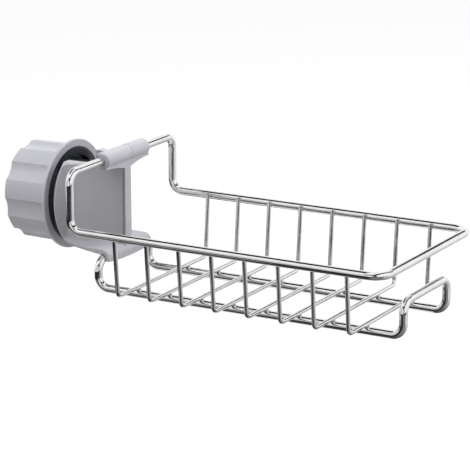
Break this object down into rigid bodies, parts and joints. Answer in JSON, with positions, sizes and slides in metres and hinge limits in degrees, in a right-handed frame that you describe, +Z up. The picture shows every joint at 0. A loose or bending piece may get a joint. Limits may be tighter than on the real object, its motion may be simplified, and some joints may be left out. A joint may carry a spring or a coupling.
{
  "type": "clamp-on sponge holder",
  "caption": "Open wire basket for sponges that hangs from a round upright post by a plastic wedge clamp with a lobed screw knob.",
  "frame": {"origin": "where the upright bore of the clamp crosses the screw axis of the knob", "axes": "+X from the bore to the far end of the basket, +Y to the left of it, +Z up along the bore"},
  "size_m": [0.2479, 0.1096, 0.0764],
  "materials": {
    "steel": "polished stainless steel wire",
    "grey_plastic": "satin moulded plastic, cool grey",
    "dark_ring": "smooth near-black plastic",
    "pad_rubber": "matt rubber"
  },
  "bodies": {
    "holder": {"rim_wire": "steel", "base_loop": "steel", "cross_wire_1": "steel", "cross_wire_2": "steel", "cross_wire_3": "steel", "cross_wire_4": "steel", "cross_wire_5": "steel", "cross_wire_6": "steel", "cross_wire_7": "steel", "cross_wire_8": "steel", "clamp_body": "grey_plastic", "saddle_pad": "pad_rubber"},
    "ring": {"pressure_ring": "dark_ring"},
    "knob": {"knob": "grey_plastic"}
  },
  "joints": [
    {"name": "ring_slide", "type": "slide", "parent": "holder", "child": "ring", "axis": [1, 0, 0], "range_m": [-0.01, 0.005]},
    {"name": "knob_turn", "type": "hinge", "parent": "ring", "child": "knob", "pos_m": [0, 0, 0], "axis": [1, 0, 0], "range_deg": [-900, 450]}
  ],
  "couplings": [
    {"joint": "ring_slide", "follows": "knob_turn", "m_per_rad": 0.00063662}
  ]
}
